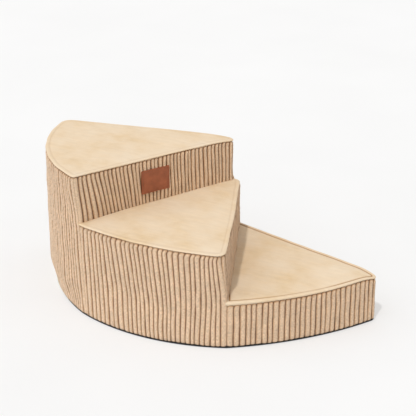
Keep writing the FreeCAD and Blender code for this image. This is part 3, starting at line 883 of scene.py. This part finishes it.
CORDUROY = corduroy_material()
SUEDE = suede_material()
LEATHER = leather_material()
FOAM = foam_material()
PIPING = woven_material("black_piping", srgb(16, 15, 16), srgb(34, 32, 33), 0.75, 1.2 * MM)
NON_SLIP = woven_material("non_slip_fabric", srgb(26, 25, 26), srgb(44, 42, 43), 0.85, 1.6 * MM)
THREAD = woven_material("thread", srgb(132, 76, 50), srgb(160, 98, 68), 0.6, 0.5 * MM)
TAPE = woven_material("zip_tape", srgb(198, 164, 124), srgb(216, 184, 146), 0.8, 0.8 * MM)
PLASTIC = plastic_material()
METAL = metal_material()


# ---- The walls

def run_of(plan, first, last):
    """The plan curve of some sides in a row, and how far along it each of them ends."""
    sides = [plan.side(i) for i in range(first, last + 1)]
    return joined(*sides), np.concatenate([[0.0], np.cumsum([lengths_along(side)[-1] for side in sides])])


def keyed(height, plan, first, last, panel):
    """One key of a wall: the height, the run of sides that it follows, and the part that the panel takes."""
    curve, stops = run_of(plan, first, last)
    return height, curve, stops[panel], stops[panel + 1]


first_step, second_step, third_step = HEIGHTS


def on_floor(spots):
    return np.full(spots.shape[:-1], BASE_GAP)


def under_tread(step):
    return lambda spots: seam_at(step, spots)


def on_tread(step):
    return lambda spots: top_at(step, spots) - OVERLAP


def leaning(amount, top, tall, start=0.0, over=0.15, end=2.0, fade=1.0):
    """A lean of the cords along the wall: none at the height top, and amount at tall under it. Along the wall
    it grows from the share start of that over the stretch over, and fades out before the share end."""
    def lean(share, z):
        growth = start + (1 - start) * smooth(share / over)
        return amount * np.maximum((top - z) / tall, 0) * growth * smooth((end - share) / fade)
    return lean


def changes(step, corner):
    """The heights between which the plan changes from one level's to the next one's, inside a tread."""
    top = top_at(step, corner)
    return top - STEP_IN, top - STEP_OUT


low_in, low_out = changes(0, LOWER)
high_in, high_out = changes(1, UPPER)
outer_top = Wall([keyed(0.0, FLOOR_PLAN, 1, 3, 0),
                  keyed(FLARE_TOP, LOW_PLAN, 1, 3, 0),
                  keyed(high_in, MIDDLE_PLAN, 1, 2, 0),
                  keyed(high_out, TOP_FOOT_PLAN, 1, 1, 0),
                  keyed(third_step, TOP_PLAN, 1, 1, 0)])
# The tone given to a panel here and below is painted shade or light, for how much light falls on that wall
corduroy("cover_outer_top", outer_top, on_floor, under_tread(2), pitch=13.4 * MM, seed=11,
         lean=leaning(0.6 * LEAN, second_step, second_step, over=0.9), hook=2 * MM, tone=0.97)
outer_middle = Wall([keyed(0.0, FLOOR_PLAN, 1, 3, 1),
                     keyed(low_in, LOW_PLAN, 1, 3, 1),
                     keyed(low_out, MIDDLE_FOOT_PLAN, 1, 2, 1),
                     keyed(high_in, MIDDLE_PLAN, 1, 2, 1)])
corduroy("cover_outer_middle", outer_middle, on_floor, under_tread(1), pitch=14.2 * MM, seed=12,
         lean=leaning(LEAN, second_step, second_step, start=0.5, over=0.3, end=0.95, fade=0.6), hook=5 * MM)
outer_bottom = Wall([keyed(0.0, FLOOR_PLAN, 3, 3, 0), keyed(low_in, LOW_PLAN, 3, 3, 0)])
corduroy("cover_outer_bottom", outer_bottom, on_floor, under_tread(0), pitch=14.4 * MM, seed=13,
         hook=1.5 * MM)

upper_wall = Wall([keyed(high_out, TOP_FOOT_PLAN, 2, 2, 0), keyed(third_step, TOP_PLAN, 2, 2, 0)])
corduroy("cover_riser_upper", upper_wall, on_tread(1), under_tread(2), pitch=12.0 * MM, seed=14,
         lean=leaning(19 * MM, third_step, first_step, over=0.15, end=0.62, fade=0.55),
         hook=2 * MM, tone=1.08, slimness=1.0)
lower_wall = Wall([keyed(low_out, MIDDLE_FOOT_PLAN, 3, 3, 0), keyed(high_in, MIDDLE_PLAN, 3, 3, 0)])
corduroy("cover_riser_lower", lower_wall, on_tread(0), under_tread(1), pitch=11.5 * MM, seed=15,
         lean=leaning(30 * MM, second_step, first_step, over=0.12, end=1.0, fade=0.15),
         hook=2 * MM, tone=0.88, slimness=0.95)
back_low = Wall([keyed(0.0, FLOOR_PLAN, 4, 4, 0), keyed(low_in, LOW_PLAN, 4, 4, 0)])
corduroy("cover_back_low", back_low, on_floor, under_tread(0), pitch=BACK_PITCH, seed=16)

tip_low_in, tip_low_out = changes(0, APEX)
tip_high_in, tip_high_out = changes(1, APEX)
back_high = Wall([keyed(0.0, FLOOR_PLAN, 0, 0, 0),
                  keyed(tip_low_in - BACK_EASE, LOW_PLAN, 0, 0, 0),
                  keyed(tip_low_out + BACK_EASE, MIDDLE_FOOT_PLAN, 0, 0, 0),
                  keyed(tip_high_in - BACK_EASE, MIDDLE_PLAN, 0, 0, 0),
                  keyed(tip_high_out + BACK_EASE, TOP_FOOT_PLAN, 0, 0, 0),
                  keyed(third_step, TOP_PLAN, 0, 0, 0)], anchor="end")
zip_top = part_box("back_wall_high")[0].z
zip_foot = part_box("back_hem")[1].z
zip_middle = (zip_top + zip_foot) / 2
tab_corners = np.concatenate([cad_points("zip_tab_inner"), cad_points("zip_tab_outer")])[:, :2]
tab_reach = np.linalg.norm(tab_corners - APEX, axis=1)


def beside_zip(height):
    """The edge of the cloth along the zip: at this height beside it, and at its middle past the end tabs."""
    def edge(spots):
        away = np.linalg.norm(spots - APEX, axis=-1)
        past = np.maximum(tab_reach.min() - away, away - tab_reach.max())
        wide = smooth(0.2 - past / ZIP_TAPER)
        return zip_middle + (height - zip_middle) * wide
    return edge


corduroy("cover_back_high", back_high, beside_zip(zip_top), under_tread(2), pitch=BACK_PITCH, seed=17,
         foot_curl=ZIP_CURL)
corduroy("cover_back_hem", back_high, on_floor, beside_zip(zip_foot), pitch=BACK_PITCH, seed=17,
         top_curl=ZIP_CURL)


# ---- The treads

def tread_plan(plan, own_radii):
    """A lower level's tread: its own outline, cut off by a line that hides under the block above."""
    own = len(plan.sides) - 2
    tuck = APEX + BACK_WAY * TUCK + plan.sides[0].inward * TUCK / 4
    cut = placed(plan.corners[own - 1], 0.0, -CUT_SLIDE)
    sides = [plan.sides[own], plan.sides[own + 1], Straight(APEX, tuck), Straight(tuck, cut)]
    return Outline(sides, [plan.corners[own], APEX, tuck, cut], own_radii + [TUCK_RADIUS, CUT_RADIUS])


tread("tread_cover_top", 2, TOP_PLAN, 31)
tread("tread_cover_middle", 1, tread_plan(MIDDLE_PLAN, [CORNER_MIDDLE_FRONT, TIP_MIDDLE]), 32)
tread("tread_cover_bottom", 0, tread_plan(LOW_PLAN, [CORNER_LOW_BACK, TIP_LOW]), 33)

STANDS_FOR = {"outer_top": "outer_wall_top", "outer_middle": "outer_wall_middle",
              "outer_bottom": "outer_wall_bottom", "riser_upper": "riser_upper",
              "riser_lower": "riser_lower", "back_low": "back_wall_low", "back_high": "back_wall_high",
              "back_hem": "back_hem"}
for cover, node in STANDS_FOR.items():
    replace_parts(bpy.data.objects["cover_" + cover], node)
for step in ("top", "middle", "bottom"):
    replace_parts(bpy.data.objects["tread_cover_" + step], "tread_" + step, "rolled_edge_" + step,
                "topper_" + step)


# ---- Base

cord_line = raised(FLOOR_PLAN.loop(CORD_INSET, CORD_STEP), CORD_RADIUS)
piping = mesh_piece("base_cord", *sweep(cord_line, CORD_RADIUS, (0, 0, 1), 10, True), PIPING,
                    slot="black_piping")
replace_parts(piping, "base_piping")


def rubber_dot(spot):
    """A low dome under the base sheet, with its top on the floor."""
    around = np.linspace(0, 2 * math.pi, DOT_SIDES, endpoint=False)
    circle = np.stack([np.cos(around), np.sin(around)], 1) * DOT_RADIUS
    rings = np.array([raised(spot + circle * size, DOT_HEIGHT * (1 - drop)) for size, drop in DOT_DOME])
    points = [*rings.reshape(-1, 3), raised(spot, 0.0)]
    inner = fan((len(rings) - 1) * DOT_SIDES, DOT_SIDES, len(points) - 1)
    return points, turned(grid_faces(len(rings), DOT_SIDES, wrap=True) + inner)


def dotted_base():
    """The non-slip underside: a thin panel with rows of small rubber dots that stand on the floor."""
    edge = FLOOR_PLAN.loop(SHEET_INSET)
    centre = edge.mean(0)
    shares = np.linspace(0, 1, SHEET_RINGS)[:-1]
    lower = [raised(edge + (centre - edge) * share, DOT_HEIGHT) for share in shares]
    rings = np.array([raised(edge, SHEET_TOP)] + lower)
    points, faces = capped(rings, raised(centre, DOT_HEIGHT), raised(centre, SHEET_TOP))
    parts = [(points, turned(faces))]
    low, high = edge.min(0), edge.max(0)
    for row, y in enumerate(np.arange(low[1], high[1], DOT_SPACING * math.sqrt(3) / 2)):
        for x in np.arange(low[0] + (row % 2) * DOT_SPACING / 2, high[0], DOT_SPACING):
            spot = np.array([x, y])
            if min(side.depth(spot) for side in FLOOR_PLAN.sides) >= DOT_MARGIN:
                parts.append(rubber_dot(spot))
    return mesh_piece("base_sheet", *merged(parts), NON_SLIP, slot="non_slip_fabric")


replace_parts(dotted_base(), "base_fabric")

# ---- Parts on the flat walls

class Face:
    """A flat wall that starts at the apex; its coordinates are along it, out of it and up."""

    def __init__(self, corner, outward_turn):
        along = unit(corner - APEX)
        self.along = np.array([*along, 0.0])
        self.outward = np.array([-along[1], along[0], 0.0]) * outward_turn
        self.mirrored = outward_turn > 0

    def at(self, spots):
        spots = np.asarray(spots, float)
        ways = np.array([self.along, self.outward, [0, 0, 1]])
        return spots @ ways + np.array([*APEX, 0.0])

    def span(self, node):
        """The lowest and the highest coordinates of a CAD node."""
        places = cad_points(node) - np.array([*APEX, 0.0])
        spots = np.stack([places @ self.along, places @ self.outward, places[:, 2]], 1)
        return spots.min(0), spots.max(0)


RISER_FACE = Face(UPPER, 1)
BACK_FACE = Face(HIGH_BACK, -1)
CORNER_POINTS = 6
STITCH_POINTS = 7


def set_out(spots, out):
    """Coordinates on a face, from (along, up) and how far out of it."""
    return np.stack([spots[..., 0], np.broadcast_to(out, spots.shape[:-1]), spots[..., 1]], -1)


def rounded_loop(low, high, radius, inset, side_steps):
    """A rectangle with round corners in the face's plane, drawn in by inset, as (along, up)."""
    radius = max(min(radius, (high - low).min() / 2) - inset, 0.1 * MM)
    low, high = low + inset, high - inset
    loop = []
    for number, (x, z) in enumerate(((1, 0), (1, 1), (0, 1), (0, 0))):
        centre = np.array([(low[0] + radius, high[0] - radius)[x], (low[1] + radius, high[1] - radius)[z]])
        for a in np.linspace(-math.pi / 2, 0, CORNER_POINTS) + number * math.pi / 2:
            loop.append(centre + radius * np.array([math.cos(a), math.sin(a)]))
    filled = []
    for i, spot in enumerate(loop):
        after = loop[(i + 1) % len(loop)]
        steps = side_steps if i % CORNER_POINTS == CORNER_POINTS - 1 else 1
        filled += [spot + (after - spot) * k / steps for k in range(steps)]
    return np.array(filled)


def slab(face, low, high, radius, edge, swell=0.0, groove=None, side_steps=8, seed=0):
    """A rounded plate on a wall face: soft edges, a front that may swell, and a pressed line inside its edge,
    given as its inset, half width and depth."""
    flat_low, flat_high = low[[0, 2]], high[[0, 2]]
    rows = [(0.0, low[1])] + [(edge * (1 - math.cos(a)), high[1] - edge * (1 - math.sin(a)))
                              for a in np.linspace(0, math.pi / 2, 4)]
    if groove:
        inset, width, depth = groove
        rows += [(inset - width, high[1]), (inset, high[1] - depth), (inset + width, high[1])]
    rings = [set_out(rounded_loop(flat_low, flat_high, radius, inset, side_steps), out)
             for inset, out in rows]
    centre = (flat_low + flat_high) / 2
    last = rings[-1]
    for share in (0.12, 0.28, 0.46, 0.64, 0.82):
        ring_spots = last.copy()
        ring_spots[:, [0, 2]] += (centre - last[:, [0, 2]]) * share
        ring_spots[:, 1] += swell * smooth(share * 1.3)
        rings.append(ring_spots)
    grid = np.array(rings)
    if seed:
        grid[2:, :, 1] += ripple(grid[2:], seed, 14 * MM, 0.12 * MM)
    points, faces = capped(grid, set_out(centre, high[1] + swell), set_out(centre, low[1]))
    return face.at(points), turned(faces) if face.mirrored else faces


def stitches(face, loop, out, length, gap, radius):
    """Short raised stitches along a closed loop of (along, up) points, standing at the distance out."""
    path = np.concatenate([loop, loop[:1]])
    shares = np.linspace(0, 1, STITCH_POINTS)
    rise = np.sin(shares * math.pi)
    parts = []
    for start in np.arange(gap / 2, lengths_along(path)[-1] - length, length + gap):
        spots = at_length(path, start + length * shares)
        places = face.at(set_out(spots, out + (rise - 0.5) * radius))
        parts.append(sweep(places, radius * (0.35 + 0.65 * rise), face.outward, 6))
    return merged(parts)


# The leather patch and its thread
PATCH_SUNK = 1.2 * MM
PATCH_PROUD = 1.5 * MM
STITCH_INSET = 4 * MM
patch_low, patch_high = RISER_FACE.span("leather_patch")
patch_low = patch_low - np.array([0, PATCH_SUNK, 0])
patch_high = patch_high + np.array([0, PATCH_PROUD, 0])
patch = slab(RISER_FACE, patch_low, patch_high, radius=1.3 * MM, edge=0.5 * MM, swell=-0.25 * MM,
             groove=(STITCH_INSET, 1.1 * MM, 0.45 * MM), side_steps=14, seed=51)
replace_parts(mesh_piece("patch_cover", *patch, LEATHER, slot="leather"), "leather_patch")
seam_loop = rounded_loop(patch_low[[0, 2]], patch_high[[0, 2]], 5 * MM, STITCH_INSET, 10)
thread = stitches(RISER_FACE, seam_loop, patch_high[1] - 0.1 * MM, length=3.0 * MM, gap=1.2 * MM,
                  radius=0.42 * MM)
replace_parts(mesh_piece("patch_thread", *thread, THREAD, slot="thread"), "patch_stitching")


# The zip
def zip_coil(node, name, turn_way):
    """A coil: a wire wound round the line of its CAD bar."""
    low, high = BACK_FACE.span(node)
    wire, pitch, steps = 0.36 * MM, 1.9 * MM, 9
    turns = (high[0] - low[0] - 2 * wire) / pitch
    angle = np.linspace(0, turns * 2 * math.pi, int(turns * steps))
    reach = (high - low) / 2 - wire
    middle = (high + low) / 2
    path = np.stack([low[0] + wire + pitch * angle / (2 * math.pi),
                     middle[1] + reach[1] * np.cos(angle),
                     middle[2] + reach[2] * np.sin(angle) * turn_way], 1)
    coil = mesh_piece(name, *sweep(BACK_FACE.at(path), wire, BACK_FACE.along, 5), PLASTIC, slot="zip_plastic")
    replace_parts(coil, node)


def zip_strip(node, name, material, slot, radius, edge, seed=0, sewn=False):
    """A rounded piece in place of a CAD block on the back wall, with a row of stitches if it is sewn."""
    low, high = BACK_FACE.span(node)
    parts = [slab(BACK_FACE, low, high, radius, edge, side_steps=24, seed=seed)]
    if sewn:
        loop = rounded_loop(low[[0, 2]], high[[0, 2]], radius, 2 * MM, 12)
        parts.append(stitches(BACK_FACE, loop, high[1], length=2.4 * MM, gap=1.1 * MM, radius=0.32 * MM))
    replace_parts(mesh_piece(name, *merged(parts), material, slot=slot), node)


for side, way in (("lower", 1), ("upper", -1)):
    zip_coil("zip_coil_" + side, f"coil_{side}_wire", way)
for side in ("lower", "upper"):
    zip_strip("zip_tape_" + side, f"tape_{side}_cloth", TAPE, "zip_tape", 1.5 * MM, 0.3 * MM)
for end in ("inner", "outer"):
    zip_strip("zip_stop_" + end, f"stop_{end}_clamp", METAL, "zip_metal", 1.2 * MM, 0.7 * MM)
for end, seed in (("inner", 61), ("outer", 62)):
    zip_strip("zip_tab_" + end, f"tab_{end}_cloth", TAPE, "zip_tape", 2.5 * MM, 1.2 * MM, seed, sewn=True)


def zip_slider():
    """The slider: a rounded plate with a pressed line, two flanges beside the coils, and a wire bridge."""
    low, high = BACK_FACE.span("zip_slider")
    plate_top, plate_foot = 0.6 * MM, -1.4 * MM
    flange, flange_inset, flange_overlap = 1.1 * MM, 1.6 * MM, 0.3 * MM
    wire, bridge_reach, bridge_sunk = 0.62 * MM, 4.6 * MM, 0.5 * MM
    parts = [slab(BACK_FACE, np.array([low[0], plate_foot, low[2]]), np.array([high[0], plate_top, high[2]]),
                  3.0 * MM, 0.7 * MM, groove=(2.0 * MM, 0.5 * MM, 0.25 * MM))]
    for foot in (low[2], high[2] - flange):
        flange_low = np.array([low[0] + flange_inset, low[1], foot])
        flange_high = np.array([high[0] - flange_inset, plate_foot + flange_overlap, foot + flange])
        parts.append(slab(BACK_FACE, flange_low, flange_high, 0.5 * MM, 0.3 * MM))
    angle = np.linspace(0, math.pi, 15)
    middle = (low + high) / 2
    bridge_foot = plate_top - bridge_sunk
    path = np.stack([middle[0] - np.cos(angle) * bridge_reach,
                     bridge_foot + np.sin(angle) ** 0.7 * (high[1] - bridge_foot - wire),
                     np.full(len(angle), middle[2])], 1)
    parts.append(sweep(BACK_FACE.at(path), wire, (0, 0, 1), 8))
    return merged(parts)


def zip_pull():
    """The pull: a wire loop that turns under the bridge, and a flat tab with a pressed line."""
    low, high = BACK_FACE.span("zip_pull")
    wire, gap, loop_length, tab_start = 0.6 * MM, 0.1 * MM, 9.5 * MM, 6.6 * MM
    loop_low = low[[0, 2]] + gap + wire
    loop_high = np.array([low[0] + loop_length, high[2] - gap]) - wire
    loop = rounded_loop(loop_low, loop_high, 1.2 * MM, 0.0, 4)
    path = set_out(loop, (low[1] + high[1]) / 2)
    wire_loop = sweep(BACK_FACE.at(path), wire, BACK_FACE.outward, 8, True)
    tab = slab(BACK_FACE, low + np.array([tab_start, 0, 0]), high, 2.6 * MM, 0.5 * MM,
               groove=(1.4 * MM, 0.5 * MM, 0.25 * MM))
    return merged([wire_loop, tab])


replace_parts(mesh_piece("slider_body", *zip_slider(), METAL, body="slider", slot="zip_metal"), "zip_slider")
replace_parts(mesh_piece("pull_tab", *zip_pull(), METAL, body="pull", slot="zip_metal"), "zip_pull")

for name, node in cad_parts.items():
    if name.startswith("foam"):
        node.data.materials.clear()
        node.data.materials.append(FOAM)


# ---- Floor, light and camera

FLOOR_HALF = 12.0
FLOOR_GLOW = 0.375
STUDIO_TINT = (1.0, 0.985, 0.96)
STUDIO_STRENGTH = 0.69


def floor_material():
    shader = Shader("floor", roughness=0.9)
    shader.colour(shader.blotches(2, 2, 0.49, 0.51))
    shader.principled.inputs["Emission Color"].default_value = (1, 1, 1, 1)
    shader.principled.inputs["Emission Strength"].default_value = FLOOR_GLOW
    return shader.material


floor = bpy.data.objects.new("floor", bpy.data.meshes.new("floor"))
floor_corners = [(x * FLOOR_HALF, y * FLOOR_HALF, 0) for x, y in ((-1, -1), (1, -1), (1, 1), (-1, 1))]
floor.data.from_pydata(floor_corners, [], [(0, 1, 2, 3)])
floor.data.materials.append(floor_material())
bpy.context.scene.collection.objects.link(floor)

world = bpy.data.worlds.new("studio")
bpy.context.scene.world = world
world.use_nodes = True
world.node_tree.nodes["Background"].inputs["Color"].default_value = (*STUDIO_TINT, 1)
world.node_tree.nodes["Background"].inputs["Strength"].default_value = STUDIO_STRENGTH


def sunlight(name, heading, elevation, energy, angle, tint):
    """A distant light that comes from a heading and an elevation, in degrees."""
    sun = bpy.data.lights.new(name, "SUN")
    sun.energy = energy
    sun.angle = math.radians(angle)
    sun.color = tint
    light = bpy.data.objects.new(name, sun)
    bpy.context.scene.collection.objects.link(light)
    flat = heading_vector(heading) * math.cos(math.radians(elevation))
    source = Vector((*flat, math.sin(math.radians(elevation))))
    light.rotation_mode = "QUATERNION"
    light.rotation_quaternion = source.to_track_quat("Z", "Y")


sunlight("key", 278.0, 57.0, 1.32, 3.0, STUDIO_TINT)
sunlight("fill", 232.0, 35.0, 0.6, 70.0, (0.88, 0.98, 1.14))

AZIMUTH, ELEVATION = math.radians(29.95), math.radians(23.05)
DISTANCE, LENS, SENSOR = 4.0, 122.9, 36.0
AIM_RIGHT, AIM_UP = -0.088, 0.1545
towards_camera = Vector((math.sin(AZIMUTH) * math.cos(ELEVATION), -math.cos(AZIMUTH) * math.cos(ELEVATION),
                         math.sin(ELEVATION)))
camera_right = Vector((math.cos(AZIMUTH), math.sin(AZIMUTH), 0))
camera_up = towards_camera.cross(camera_right)
aim = Vector((*APEX, 0)) + camera_right * AIM_RIGHT + camera_up * AIM_UP
lens = bpy.data.cameras.new("camera")
lens.lens = LENS
lens.sensor_width = SENSOR
camera = bpy.data.objects.new("camera", lens)
bpy.context.scene.collection.objects.link(camera)
camera.location = aim + towards_camera * DISTANCE
camera.rotation_mode = "QUATERNION"
camera.rotation_quaternion = towards_camera.to_track_quat("Z", "Y")
bpy.context.scene.camera = camera
bpy.context.scene.view_settings.view_transform = "Standard"
